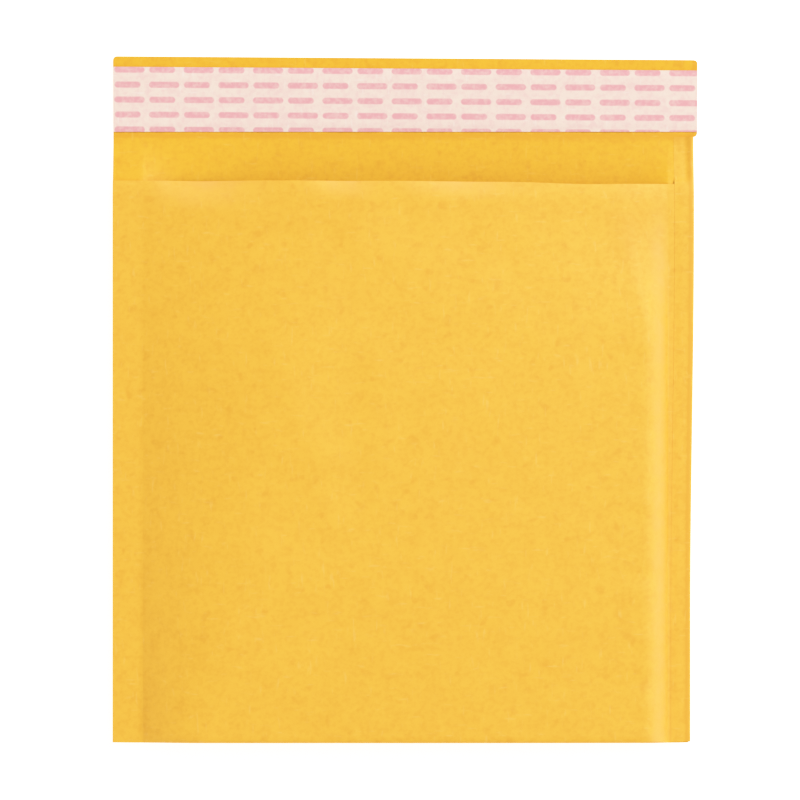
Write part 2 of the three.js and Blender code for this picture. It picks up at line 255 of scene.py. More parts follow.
# Widths of the long slope on the left, at these places along the panel
LEFT_SHOULDER_AT = [0, 0.12, 0.4, 0.7, 0.9, 1]
LEFT_SHOULDER = [22, 28, 46, 54, 78, 82]
LEFT_POWER = 2
RIGHT_SHOULDER, RIGHT_SHOULDER_AT_MOUTH = 7, 16  # on the right the slope is steep
RIGHT_SOFTENS_FROM, RIGHT_SOFT_AT = 0.72, 0.94
RIGHT_POWER = 1.6
RIGHT_EASE, RIGHT_EASE_AT_MOUTH = 0.26, 0.72  # share that the crown falls to the right
REAR_SHOULDER = 14
SEAM_LIFT, EDGE_LIFT = 3.0, 2.5
SETTLE_LENGTH = 6
FLAP_LIFT, FLAP_LIFT_POWER = 1.5, 1.6
FOLD_DEPTH = 2.4
PANEL_LENGTH = MOUTH_Y - BOTTOM_FOLD_Y - FOLD_DEPTH


def clamp01(t):
    return np.clip(t, 0, 1)


def smooth(t):
    t = clamp01(t)
    return t * t * (3 - 2 * t)


def lerp(a, b, t):
    return a + (b - a) * t


def slant_at(x):
    return SLANT * (x - LEFT_X) / (FLAP_RIGHT_X - LEFT_X)


def mouth_y(x):
    return MOUTH_Y - slant_at(x) - LIP_DIP * np.exp(-(((x - LIP_DIP_X) / LIP_DIP_WIDTH) ** 2))


def flap_end_y(x):
    return FLAP_END_Y - slant_at(x)


def body_right_x(y):
    drawn = smooth((DRAWN_IN_FROM_Y - y) / (DRAWN_IN_FROM_Y - DRAWN_IN_TO_Y))
    return BODY_RIGHT_X - DRAWN_IN * drawn


def along_panel(y):
    """0 at the bottom fold, 1 at the mouth."""
    return clamp01((y - BOTTOM_FOLD_Y - FOLD_DEPTH) / PANEL_LENGTH)


def crown_height(y):
    along = along_panel(y)
    rise = 1 - (1 - clamp01(along / CROWN_RISE)) ** 2
    towards_mouth = smooth((along - CROWN_FALLS_FROM) / (1 - CROWN_FALLS_FROM))
    return CROWN_AT_FOLD + (CROWN - CROWN_AT_FOLD) * rise - (CROWN - CROWN_AT_MOUTH) * towards_mouth


def shoulder(x, y):
    """How far the front has risen from the margin to the crown, 0 to 1."""
    left_width = np.interp(along_panel(y), LEFT_SHOULDER_AT, LEFT_SHOULDER)
    left = 1 - (1 - clamp01((CUSHION_X + x) / left_width)) ** LEFT_POWER
    softened = smooth((along_panel(y) - RIGHT_SOFTENS_FROM) / (RIGHT_SOFT_AT - RIGHT_SOFTENS_FROM))
    right_width = lerp(RIGHT_SHOULDER, RIGHT_SHOULDER_AT_MOUTH, softened)
    right = 1 - (1 - clamp01((CUSHION_X - x) / right_width)) ** RIGHT_POWER
    eased = 1 - lerp(RIGHT_EASE, RIGHT_EASE_AT_MOUTH, softened) * clamp01(x / CUSHION_X) ** 2
    return np.where(x < 0, left, right * eased)


def rear_height(x, y):
    """Underside of the rear panel, of the band above the mouth, and of the flap."""
    outside = clamp01((np.abs(x) - CUSHION_X) / (-LEFT_X - CUSHION_X))
    inside = clamp01((CUSHION_X - np.abs(x)) / REAR_SHOULDER)
    lifted = lerp(SEAM_LIFT, EDGE_LIFT, outside) * (1 - inside) ** 2
    settled = smooth((y - mouth_y(x) + SETTLE_LENGTH) / (SCORE_Y - MOUTH_Y + SETTLE_LENGTH))
    raised = clamp01((y - SCORE_Y) / (FLAP_END_Y - SCORE_Y)) ** FLAP_LIFT_POWER
    return lifted * (1 - settled) + FLAP_LIFT * raised


print("crown at mid-length:", round(float(crown_height(np.array(0.0))), 2), "mm")

# %% [markdown]
# ## Handling marks
#
# Paper over bubbles is never a clean curve. It has shallow dents where it was pressed,
# long soft folds, short puckers along the welds where two flat plies are forced round
# the padding, and a faint restless waviness all over. A dent and a fold are the same
# thing, a soft hollow or ridge along a line, so one rule makes them all, and a few
# crossing waves with a fixed seed make the rest.

# %% Dents, folds, puckers and waves
DROOP, DROOP_LENGTH = 0.3, 5
# X, width, depth and length of the places where the lip gives way
SOFT_PLACES = [(-63, 13, 3.4, 10), (-19, 8, 1.9, 6), (19, 14, 1.5, 6)]
SOFT_FROM_WELD = 9  # no droop at the welds, all of it from here on

# Start, end, width and height of each mark on the front panel
MARKS = [
    ((-38, 50), (-38, 50), 5, -0.28),
    ((-26, 53), (-24, 50), 5, -0.3),
    ((20, 48), (20, 46), 6, -0.25),
    ((32, 44), (31, 42), 6, -0.25),
    ((2, 0), (0, -2), 4, -0.12),
    ((-16, 5), (-16, -31), 6, -0.3),
    ((-43, 19), (-27, -18), 6, 0.3),
    ((-51, -23), (-66, -46), 5, 0.25),
    ((-66, -46), (-71, -61), 4, 0.25),
    ((-63, 48), (-60, 30), 7, 0.2),
]
# Y, length and height of the puckers that leave each weld
LEFT_PUCKERS = [(-95, 11, -0.5), (-79, 8, 0.3), (-60.5, 13, -0.6), (-41, 9, 0.35), (-19, 8, -0.3),
                (6, 10, 0.3), (28, 8, -0.3), (51, 9, 0.3)]
RIGHT_PUCKERS = [(-97, 10, 0.4), (-89, 10, -0.6), (-76, 9, 0.5), (-56, 10, -0.6), (-33, 9, 0.5),
                 (-9, 8, -0.5), (17, 10, 0.5), (38, 9, -0.5), (56, 7, -0.25)]
PUCKER_WIDTH = 2.6
WAVE_SEED = 11
WAVE_COUNT = 26
WAVE_LENGTHS = (7, 34)
WAVE_SLOPE = 0.0042  # each wave's steepest slope

rng = np.random.default_rng(WAVE_SEED)
wave_lengths = rng.uniform(*WAVE_LENGTHS, WAVE_COUNT)
wave_headings = rng.uniform(0, np.pi, WAVE_COUNT)
wave_starts = rng.uniform(0, 2 * np.pi, WAVE_COUNT)


def waves(x, y):
    """Crossing waves of many lengths, the longer ones higher."""
    total = np.zeros(np.broadcast(x, y).shape)
    for length, heading, start in zip(wave_lengths, wave_headings, wave_starts):
        turns = 2 * np.pi / length
        phase = turns * (x * np.cos(heading) + y * np.sin(heading)) + start
        total = total + WAVE_SLOPE / turns * np.sin(phase)
    return total


def mark(x, y, start, end, width, height):
    """A soft hollow or ridge along a line."""
    (ax, ay), (bx, by) = start, end
    length = np.hypot(bx - ax, by - ay)
    along = clamp01(((x - ax) * (bx - ax) + (y - ay) * (by - ay)) / max(length, 1e-6) ** 2)
    distance = np.hypot(x - ax - along * (bx - ax), y - ay - along * (by - ay))
    return height * np.exp(-((distance / width) ** 2))


def puckers(x, y):
    """Short wrinkles square to the welds, strongest just inside them."""
    total = np.zeros(np.broadcast(x, y).shape)
    inside = CUSHION_X - np.abs(x)
    for side, rows in ((-1, LEFT_PUCKERS), (1, RIGHT_PUCKERS)):
        for at, length, height in rows:
            fade = np.clip(inside / 2, 0, 1) * np.exp(-((inside / length) ** 2)) * (side * x > 0)
            total = total + height * fade * np.exp(-(((y - at) / PUCKER_WIDTH) ** 2))
    return total


def front_height(x, y):
    """Top of the front panel, with its handling marks."""
    seam = rear_height(np.sign(x) * np.maximum(np.abs(x), CUSHION_X), y) + MARGIN_STACK
    risen = shoulder(x, y)
    from_mouth = mouth_y(x) - y
    droop = DROOP * clamp01(1 - from_mouth / DROOP_LENGTH) ** 2
    for at, wide, deep, length in SOFT_PLACES:
        droop = droop + deep * np.exp(-(((x - at) / wide) ** 2)) * clamp01(1 - from_mouth / length) ** 2
    handled = waves(x, y) + puckers(x, y)
    for start, end, width, height in MARKS:
        handled = handled + mark(x, y, start, end, width, height)
    droop = droop * clamp01((CUSHION_X - np.abs(x)) / SOFT_FROM_WELD)
    return seam + (crown_height(y) - seam + handled) * risen - droop


sample_x, sample_y = np.meshgrid(np.linspace(-60, 60, 60), np.linspace(-90, 60, 60))
print("waves within", round(float(np.abs(waves(sample_x, sample_y)).max()), 2), "mm")

# %% [markdown]
# ## From heights to sheets
#
# Paper and film are sheets that run down the front, round the bottom fold and up the
# rear. Each is a grid: its columns go across the envelope, closer together at the
# welds and edges, where the shape turns quickly, and its rows follow the sheet's
# length. A sheet has two such grids, one for each face, a thickness apart, and a
# narrow wall joins them all round. A solid made like this is closed, and its cut edge
# is a real edge that can have its own colour.

# %% Columns and rows
def graded(length, fine, coarse, growth=1.35):
    """Distances from 0 to length, close together at the start."""
    at, step = [0.0], fine
    while at[-1] < length:
        at.append(at[-1] + step)
        step = min(step * growth, coarse)
    return np.array(at) * (length / at[-1])


def graded_both(length, fine, coarse):
    """Distances from 0 to length, close together at both ends."""
    half = graded(length / 2, fine, coarse)
    return np.concatenate([half, length - half[-2::-1]])


FOLD_SLENDER, FOLD_MOST_INSET, FOLD_POWER = 0.8, 0.85, 0.42
FOLD_RECESS = 0.25  # the padded middle of the fold is drawn in this much
TURN_ROOM = 0.7  # the columns stop this far inside the turned edge
# A step in millimetres over these is a step in shares of a side margin
MARGIN_FINE, MARGIN_COARSE, MARGIN_EVEN = 24, 9, 10


class Columns:
    """Places across the width: fixed ones over the padding, and shares of each margin."""

    def __init__(self, fine, coarse):
        padded = graded_both(2 * CUSHION_X, fine, coarse) - CUSHION_X
        left = 1 - graded(1, fine / MARGIN_FINE, coarse / MARGIN_COARSE)[:-1]
        right = np.linspace(0, 1, int(MARGIN_EVEN / fine))[1:]
        self.base = np.concatenate([np.full(len(left), -CUSHION_X), padded,
                                    np.full(len(right), CUSHION_X)])
        self.share = np.concatenate([left, np.zeros(len(padded)), right])
        self.is_left = self.base < 0

    def x(self, left, right):
        """X of every column, for these two edges."""
        edge = np.where(self.is_left, left, right)
        return self.base + self.share * (edge - self.base)

    def body_x(self, y):
        return self.x(LEFT_X, body_right_x(y) - TURN_ROOM)


def slope_factor(height, x, y):
    """How much longer a vertical inset is than the thickness, where the sheet slopes."""
    step = 0.5
    along_x = (height(x + step, y) - height(x - step, y)) / (2 * step)
    along_y = (height(x, y + step) - height(x, y - step)) / (2 * step)
    return np.sqrt(1 + along_x**2 + along_y**2)


def panel_row(columns, face, at, depth):
    """A row at a distance from the mouth, on the front or the rear panel."""
    near_x = columns.body_x(MOUTH_Y)
    fold_y = fold_of(near_x)[3]
    y = mouth_y(near_x) - at * (mouth_y(near_x) - fold_y) / PANEL_LENGTH
    x = columns.body_x(y)
    if face == "front":
        z = front_height(x, y) - depth * slope_factor(front_height, x, y)
    else:
        z = rear_height(x, y) + depth * slope_factor(rear_height, x, y)
    return np.stack([x, y, z], axis=-1)


def fold_of(x):
    """Half height, middle height, depth and start of the bottom fold in each column."""
    y = BOTTOM_FOLD_Y + FOLD_DEPTH
    half = (front_height(x, y) - rear_height(x, y)) / 2
    deep = np.minimum(FOLD_DEPTH, FOLD_SLENDER * half)
    return half, rear_height(x, y) + half, deep, BOTTOM_FOLD_Y + deep + FOLD_RECESS * shoulder(x, y)


def signed_power(t, power):
    return np.sign(t) * np.abs(t) ** power


def fold_row(columns, angle, depth):
    """A row round the bottom fold: a superellipse, squarer than a round."""
    half, middle, deep, fold_y = fold_of(columns.body_x(MOUTH_Y))
    x = columns.body_x(BOTTOM_FOLD_Y)
    height = front_height if np.cos(angle) >= 0 else rear_height
    tall = half - depth * slope_factor(height, x, fold_y)
    reach = deep - np.minimum(depth, FOLD_MOST_INSET * deep)
    y = fold_y - reach * signed_power(np.sin(angle), FOLD_POWER)
    z = middle + tall * signed_power(np.cos(angle), FOLD_POWER)
    return np.stack([x, y, z], axis=-1)


SHARP_FROM = np.radians(50)  # cut edges stay crisp


def sheet_mesh(name, outer, inner):
    """A closed sheet between two grids of points in millimetres, [row][column].
    Cells that touch a missing point are left out. Material 0 is the outer face,
    1 the inner face and 2 the cut edge."""
    there = ~np.isnan(outer[..., 0])
    number = np.cumsum(there).reshape(there.shape) - 1
    count = int(there.sum())
    cell = there[:-1, :-1] & there[1:, :-1] & there[:-1, 1:] & there[1:, 1:]
    a, b, c, d = number[:-1, :-1], number[:-1, 1:], number[1:, 1:], number[1:, :-1]
    top = np.stack([a[cell], b[cell], c[cell], d[cell]], axis=1)
    bottom = top[:, ::-1] + count
    beyond = np.pad(cell, 1)
    open_sides = [
        (cell & ~beyond[:-2, 1:-1], a, b),
        (cell & ~beyond[1:-1, 2:], b, c),
        (cell & ~beyond[2:, 1:-1], c, d),
        (cell & ~beyond[1:-1, :-2], d, a),
    ]
    walls = [np.stack([q[side], p[side], p[side] + count, q[side] + count], axis=1)
             for side, p, q in open_sides]
    faces = np.concatenate([top, bottom, *walls])
    finish = np.repeat([0, 1, 2], [len(top), len(bottom), len(faces) - 2 * len(top)])
    points = np.concatenate([outer[there], inner[there]]) * MM
    p = points[faces]
    volume = (np.einsum("ij,ij->i", p[:, 0], np.cross(p[:, 1], p[:, 2]))
              + np.einsum("ij,ij->i", p[:, 0], np.cross(p[:, 2], p[:, 3]))).sum() / 6
    if volume < 0:
        faces = faces[:, ::-1]
    mesh = bpy.data.meshes.new(name)
    mesh.from_pydata(points.tolist(), [], faces.tolist())
    mesh.polygons.foreach_set("material_index", finish)
    mesh.polygons.foreach_set("use_smooth", finish < 2)
    mesh.set_sharp_from_angle(angle=SHARP_FROM)
    print(f"{name}: {len(faces)} faces, {abs(volume) * 1e6:.2f} cm3")
    return mesh


def add_piece(name, mesh, materials):
    """Puts a mesh in the scene as a piece of the envelope."""
    for material in materials:
        mesh.materials.append(material)
    piece = bpy.data.objects.new(name, mesh)
    scene.collection.objects.link(piece)
    return piece


# %% [markdown]
# ## The paper
#
# One sheet makes the front panel, the bottom fold, the rear panel, the band above the
# mouth and the flap. On the right its margin is turned over the edge and stuck down,
# on the front up to the mouth and on the band above it, where it shows as a lighter
# strip. Because the band and the flap are the rear panel's continuation, they show the
# paper's inner side.

# %% Paper grids
CORNER = 1.2  # radius of the flap's corners


def flap_row(columns, share, depth):
    """A row of the flap, at a share of its length from the score."""
    straight_x = columns.x(LEFT_X, FLAP_RIGHT_X)
    y = lerp(SCORE_Y, flap_end_y(straight_x), share)
    from_end = flap_end_y(straight_x) - y
    from_score = y - SCORE_Y
    round_end = CORNER - np.sqrt(np.clip(CORNER**2 - np.clip(CORNER - from_end, 0, CORNER) ** 2, 0, None))
    round_score = CORNER - np.sqrt(
        np.clip(CORNER**2 - np.clip(CORNER - from_score, 0, CORNER) ** 2, 0, None))
    x = columns.x(LEFT_X + round_end, FLAP_RIGHT_X - np.maximum(round_end, round_score))
    return np.stack([x, y, rear_height(x, y) + depth], axis=-1)


TURN_WIDTH = 6.2  # the right margin is turned over onto the front by this much
TURN_RADIUS = 0.55
TURN_ANGLES = np.radians([-90, -60, -30, 0, 30, 60, 90])
TURN_FLATS = [0.08, 0.16, 0.25, 0.33, 0.41, 0.5, 0.6, 0.7, 0.8, 0.9, 1]
THINS_FROM, THINS_BY = 0.5, 0.75  # the strip is pressed thin towards its free edge
TURN_AIR = 0.02
LIES_FLAT_BY = 0.4  # share of the strip's width in which it comes down from the rounded edge
DROP_FROM, TURN_DROP = 0.4, 2  # past the mouth, the strip comes down to the band from here, in this


def turned_row(y, depth):
    """The turned margin beside one row: round the edge, then flat over the front."""
    centre_x = body_right_x(y) - TURN_RADIUS
    radius = TURN_RADIUS - depth
    base = rear_height(centre_x, y) + TURN_RADIUS
    points = [(centre_x + radius * np.cos(a), y, base + radius * np.sin(a)) for a in TURN_ANGLES]
    past_mouth = smooth((y - mouth_y(centre_x) - DROP_FROM) / TURN_DROP)
    stuck_on = lerp(MARGIN_STACK, PAPER, past_mouth) + TURN_AIR
    for share in TURN_FLATS:
        x = centre_x - (TURN_WIDTH - TURN_RADIUS) * share
        under = lerp(2 * TURN_RADIUS - PAPER, stuck_on, smooth(share / LIES_FLAT_BY))
        thinned = 1 - THINS_BY * smooth((share - THINS_FROM) / (1 - THINS_FROM))
        points.append((x, y, rear_height(x, y) + under + (PAPER - depth) * thinned))
    return np.array(points)


BAND_LENGTH = SCORE_Y - MOUTH_Y
FRONT_ROWS = graded(PANEL_LENGTH, 0.35, 1.45)[:-1]
REAR_ROWS = graded_both(PANEL_LENGTH, 0.8, 3.2)[:-1][::-1]
BAND_ROWS = -graded_both(BAND_LENGTH - 0.6, 0.4, 1.4)[1:]
FLAP_ROWS = graded_both(1, 0.006, 0.055)
FOLD_ANGLES = np.radians(np.linspace(0, 180, 15))


def paper_grid(columns, depth):
    """All rows of the paper, at one depth under its outer face."""
    front = [panel_row(columns, "front", at, depth) for at in FRONT_ROWS]
    fold = [fold_row(columns, angle, depth) for angle in FOLD_ANGLES]
    rear = [panel_row(columns, "rear", at, depth) for at in [*REAR_ROWS, *BAND_ROWS]]
    at_score = columns.body_x(SCORE_Y)
    y = np.full(len(at_score), SCORE_Y)
    rear.append(np.stack([at_score, y, rear_height(at_score, y) + depth], axis=-1))
    flap = [flap_row(columns, share, depth) for share in FLAP_ROWS]
    turn_count = len(TURN_ANGLES) + len(TURN_FLATS)
    nothing = np.full((turn_count, 3), np.nan)
    turned = [nothing] * (len(front) + len(fold) - 1)
    turned += [turned_row(row[-1, 1], depth) for row in [fold[-1], *rear]]
    turned += [nothing] * len(flap)
    return np.concatenate([np.array(front + fold + rear + flap), np.array(turned)], axis=1)


paper_columns = Columns(0.45, 1.5)
paper_outer = paper_grid(paper_columns, 0.0)
paper_inner = paper_grid(paper_columns, PAPER)
paper_mesh = sheet_mesh("envelope_paper", paper_outer, paper_inner)

# %% [markdown]
# ## Deeper lines, painted shade and painted sheen
#
# A thin deeper line runs a millimetre inside the right edge. Another runs just above the
# crease where the flap begins: it is partly the crease and partly a painted shadow of the
# liner's lower edge. The front by the mouth's right corner has a soft patch of painted
# shade, which tones down the lit shoulder there. The ridge of the right shoulder and the
# lip's soft places, where the light falls most, get a paler, whiter tint, a painted sheen.
# A finish can't know where all that is, so the mesh carries it as two values on each point.

# %% Deeper lines, painted shade and painted sheen, as values on each point
# Lines inside the right edge and just above the crease; the one above the crease is partly the crease and
# partly painted shadow of the liner's lower edge
RIGHT_LINE_IN, CREASE_AND_SHADOW_LINE_UP = 1.05, 0.35
EDGE_LINE_WIDTH = 0.6
# Painted sheen: a paler, whiter tint along the lit ridge of the right shoulder and on the lip's soft
# places
RIDGE_X, RIDGE_WIDTH = 80.2, 2.4
SHEEN_FULL_FROM = 30  # fully from this far inside the mouth
PAST_LIP = 0.1  # the lip's own points are found this far past it
# A soft patch of painted shade on the front by the mouth's right corner, which tones down the lit shoulder
# there
SHADE_PATCH_X, SHADE_PATCH_Y, SHADE_PATCH_WIDE, SHADE_PATCH_LONG, SHADE_PATCH_DEPTH = 73, 53, 9, 13, 0.45


def store(mesh, name, values):
    """Keeps one number on each point of a mesh, for a material to read."""
    made = mesh.attributes.new(name, "FLOAT", "POINT")
    made.data.foreach_set("value", np.asarray(values, dtype=np.float32))


def mesh_points(mesh):
    """All points of a mesh, in millimetres."""
    flat = np.zeros(len(mesh.vertices) * 3)
    mesh.vertices.foreach_get("co", flat)
    return flat.reshape(-1, 3) / MM


x, y, z = mesh_points(paper_mesh).T
on_front = z > (front_height(x, y) + rear_height(x, y)) / 2
line_x = np.where(y > SCORE_Y, FLAP_RIGHT_X, body_right_x(y)) - RIGHT_LINE_IN
to_line = np.abs([line_x - x, y - SCORE_Y - CREASE_AND_SHADOW_LINE_UP]).min(axis=0)
# The deeper lines everywhere, and the patch of painted shade on the front by the mouth's right corner
painted_shade_patch = np.exp(-(((x - SHADE_PATCH_X) / SHADE_PATCH_WIDE) ** 2) - ((y - SHADE_PATCH_Y) / SHADE_PATCH_LONG) ** 2)
lines_and_painted_shade = np.maximum(np.exp(-((to_line / EDGE_LINE_WIDTH) ** 2)), SHADE_PATCH_DEPTH * painted_shade_patch * on_front)
store(paper_mesh, "lines_and_painted_shade", lines_and_painted_shade)

from_mouth = mouth_y(x) - y
# Painted sheen where the light falls most: along the right shoulder's ridge and on the lip's soft places
painted_sheen = np.exp(-(((x - RIDGE_X) / RIDGE_WIDTH) ** 2)) * smooth(from_mouth / SHEEN_FULL_FROM)
for at, wide, _, length in SOFT_PLACES:
    lip = np.exp(-(((x - at) / wide) ** 2)) * clamp01(1 - from_mouth / length)
    painted_sheen = np.maximum(painted_sheen, lip * (from_mouth > -PAST_LIP))
store(paper_mesh, "painted_sheen", painted_sheen * on_front)
print("points on the deeper lines:", int((to_line < EDGE_LINE_WIDTH).sum()))

# %% [markdown]
# ## Paper finish
#
# Kraft paper is pulp fibres in every direction, dyed through. From a hand's distance
# it shows a fine cloudy mottle, with a few darker and paler fibres and a slight tooth.
# The outer face, the inner face, the cut edge and the liner share that structure in
# other colours, so it is one node group with named inputs. It gives out a colour, a
# roughness and a height, and each material puts them into its own shader.

# %% Fibre node group
fibres = bpy.data.node_groups.new("paper fibres", "ShaderNodeTree")
socket(fibres, "Base", "Color")
socket(fibres, "Deep", "Color")
socket(fibres, "Pale", "Color")
socket(fibres, "Mottle", "Float", value=1.0)
# The deeper lines and the painted shade, which deepen the colour
socket(fibres, "Lines and painted shade", "Float", value=0.0)
# A painted sheen, which turns the colour paler and whiter, and its colour
socket(fibres, "Painted sheen", "Float", value=0.0)
socket(fibres, "Painted sheen color", "Color")
socket(fibres, "Roughness", "Float", value=0.6)
socket(fibres, "Color", "Color", "OUTPUT")
socket(fibres, "Roughness", "Float", "OUTPUT")
socket(fibres, "Height", "Float", "OUTPUT")

given = node(fibres, "NodeGroupInput").outputs
place = node(fibres, "ShaderNodeTexCoord").outputs["Object"]


def noise(tree, vector, scale, detail=2.0, roughness=0.5, stretch=None, turn=0.0):
    """Noise at a scale in features per metre, stretched along one way if asked."""
    if stretch:
        inputs = {"Vector": vector, "Scale": stretch, "Rotation": (0, 0, turn)}
        vector = node(tree, "ShaderNodeMapping", inputs).outputs["Vector"]
    inputs = {"Vector": vector, "Scale": scale, "Detail": detail, "Roughness": roughness}
    return node(tree, "ShaderNodeTexNoise", inputs).outputs["Fac"]


cloud = noise(fibres, place, 45, 3)
patches = ramp(fibres, noise(fibres, place, 210, 2), 0.36, 0.64)
mottle = noise(fibres, place, 620, 3, 0.6)
long_fibres = noise(fibres, place, 900, 2, 0.5, stretch=(0.22, 1, 1), turn=0.5)
cross_fibres = noise(fibres, place, 900, 2, 0.5, stretch=(1, 0.2, 1), turn=0.35)
fleck = noise(fibres, place, 260, 1, 0.5)

dark_share = calc(fibres, "ADD", ramp(fibres, mottle, 0.42, 0.66), ramp(fibres, fleck, 0.6, 0.74))
fibre_share = ramp(fibres, calc(fibres, "MAXIMUM", long_fibres, cross_fibres), 0.62, 0.78)
deepened = calc(fibres, "MULTIPLY_ADD", cloud, 0.25, calc(fibres, "MULTIPLY", dark_share, 0.42))
deepened = calc(fibres, "MULTIPLY_ADD", patches, 0.2, deepened)
deepened = calc(fibres, "MULTIPLY", deepened, given["Mottle"])
# The deeper lines and the painted shade deepen the colour further
deepened = calc(fibres, "ADD", deepened, given["Lines and painted shade"], clamp=True)
colour = blend(fibres, deepened, given["Base"], given["Deep"])
pale_share = calc(fibres, "MULTIPLY", fibre_share, calc(fibres, "MULTIPLY", given["Mottle"], 0.35))
colour = blend(fibres, pale_share, colour, given["Pale"])
# Painted sheen: the colour turns paler and whiter here
sheen_share = calc(fibres, "MULTIPLY", given["Painted sheen"], calc(fibres, "MULTIPLY_ADD", patches, 0.3, 0.7))
colour = blend(fibres, sheen_share, colour, given["Painted sheen color"])
rough = calc(fibres, "MULTIPLY_ADD", mottle, 0.16, calc(fibres, "SUBTRACT", given["Roughness"], 0.08))
tooth = calc(fibres, "MULTIPLY_ADD", mottle, 0.6, calc(fibres, "MULTIPLY", fibre_share, 0.4))
node(fibres, "NodeGroupOutput", {"Color": colour, "Roughness": rough, "Height": tooth})
print("fibre group has", len(fibres.nodes), "nodes")


# %% Paper materials
# The paler, whiter colour of the painted sheen
PAINTED_SHEEN_KRAFT = (0.87, 0.415, 0.06, 1)


def paper_material(name, base, deep, pale, roughness=0.6, shine=0.5):
    """A paper in its own colours, with the shared fibre structure."""
    material, tree, shader = new_material(name)
    # The deeper lines, the painted shade and the painted sheen come from values on the mesh
    shade_lines_value = node(tree, "ShaderNodeAttribute", attribute_name="lines_and_painted_shade").outputs["Fac"]
    sheen_value = node(tree, "ShaderNodeAttribute", attribute_name="painted_sheen").outputs["Fac"]
    inputs = {
        "Base": (*base, 1), "Deep": (*deep, 1), "Pale": (*pale, 1),
        "Lines and painted shade": shade_lines_value, "Painted sheen": sheen_value,
        "Painted sheen color": PAINTED_SHEEN_KRAFT, "Roughness": roughness,
    }
    made = node(tree, "ShaderNodeGroup", inputs, node_tree=fibres)
    tree.links.new(made.outputs["Color"], shader.inputs["Base Color"])
    tree.links.new(made.outputs["Roughness"], shader.inputs["Roughness"])
    bump = node(tree, "ShaderNodeBump", {
        "Height": made.outputs["Height"], "Strength": 0.35, "Distance": 0.00006})
    tree.links.new(bump.outputs["Normal"], shader.inputs["Normal"])
    shader.inputs["Specular IOR Level"].default_value = shine
    return material


kraft_outside = paper_material("kraft outside", base=(0.885, 0.435, 0.019), deep=(0.785, 0.352, 0.008),
                               pale=(0.91, 0.51, 0.09), shine=0.6)
kraft_inside = paper_material("kraft inside", base=(0.865, 0.424, 0.007), deep=(0.77, 0.338, 0.003),
                              pale=(0.89, 0.49, 0.06), shine=0.45)
kraft_edge = paper_material("kraft cut edge", base=(0.83, 0.43, 0.06), deep=(0.7, 0.32, 0.03),
                            pale=(0.88, 0.58, 0.25), roughness=0.85)

paper = add_piece("envelope_paper", paper_mesh, [kraft_outside, kraft_inside, kraft_edge])
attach(paper, "root")
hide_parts("kraft_outer")
print(paper.name, "has", len(paper_mesh.materials), "finishes")

# %% [markdown]
# ## The bubble film's flat ply
#
# Bubble film is two films: a flat one, and one formed into domes and sealed to it. The
# flat one lies against the paper, all the way down the front, round the fold and up
# the rear. It stops short of the mouth, further inside on the front than on the rear.

# %% Flat ply
FILM = 0.06
FILM_OUTSIDE = PAPER + AIR
LINING_SETBACK, REAR_LINING_SETBACK = 4, 0.5

film_columns = Columns(1.2, 3.5)
film_front = LINING_SETBACK + graded(PANEL_LENGTH - LINING_SETBACK, 1.0, 3.5)[:-1]
film_rear = REAR_LINING_SETBACK + graded(PANEL_LENGTH - REAR_LINING_SETBACK, 0.7, 3.5)[:-1][::-1]


def film_grid(depth):
    """All rows of the flat film, at one depth under the paper's outer face."""
    front = [panel_row(film_columns, "front", at, depth) for at in film_front]
    fold = [fold_row(film_columns, angle, depth) for angle in FOLD_ANGLES]
    rear = [panel_row(film_columns, "rear", at, depth) for at in film_rear]
    return np.array(front + fold + rear)


film_mesh = sheet_mesh("bubble_film", film_grid(FILM_OUTSIDE), film_grid(FILM_OUTSIDE + FILM))

# %% [markdown]
# ## The bubbles
#
# The domes stand in close-packed rows on both panels, towards the pocket. They repeat
# by a rule and follow a surface, so Geometry Nodes make them. The tree is built in
# steps. First come its named inputs, and a level grid of places, in which every second
# row is shifted by half a pitch.

# %% Bubble tree: inputs and rows
ROW_SHARE = 0.866  # rows of a close-packed pattern are this much of a pitch apart

bubbles = bpy.data.node_groups.new("bubble rows", "GeometryNodeTree")
socket(bubbles, "Film", "Geometry")
for name in ("Pitch", "Radius", "Height", "Film thickness", "Half width", "Low end", "High end"):
    socket(bubbles, name, "Float")
socket(bubbles, "Seed", "Int")
socket(bubbles, "Material", "Material")
socket(bubbles, "Geometry", "Geometry", "OUTPUT")
given = node(bubbles, "NodeGroupInput").outputs


def each_place():
    """The position of each point, which a tree works out for all of them at once."""
    return node(bubbles, "GeometryNodeInputPosition").outputs[0]


def part_of(vector, axis):
    """One coordinate of a vector."""
    return node(bubbles, "ShaderNodeSeparateXYZ", {0: vector}).outputs[axis]


width = calc(bubbles, "MULTIPLY", given["Half width"], 2)
length = calc(bubbles, "SUBTRACT", given["High end"], given["Low end"])
row_gap = calc(bubbles, "MULTIPLY", given["Pitch"], ROW_SHARE)
across = calc(bubbles, "FLOOR", calc(bubbles, "DIVIDE", width, given["Pitch"]))
along = calc(bubbles, "FLOOR", calc(bubbles, "DIVIDE", length, row_gap))
grid = node(bubbles, "GeometryNodeMeshGrid", {
    "Size X": calc(bubbles, "MULTIPLY", across, given["Pitch"]),
    "Size Y": calc(bubbles, "MULTIPLY", along, row_gap),
    "Vertices X": calc(bubbles, "ADD", across, 1),
    "Vertices Y": calc(bubbles, "ADD", along, 1),
}).outputs["Mesh"]
row = calc(bubbles, "ROUND", calc(bubbles, "DIVIDE", part_of(each_place(), "Y"), row_gap))
odd = calc(bubbles, "FLOORED_MODULO", row, 2)
half_pitch = calc(bubbles, "MULTIPLY", given["Pitch"], 0.5)
shift = calc(bubbles, "MULTIPLY", calc(bubbles, "SUBTRACT", odd, 0.5), half_pitch)
middle = calc(bubbles, "MULTIPLY", calc(bubbles, "ADD", given["Low end"], given["High end"]), 0.5)
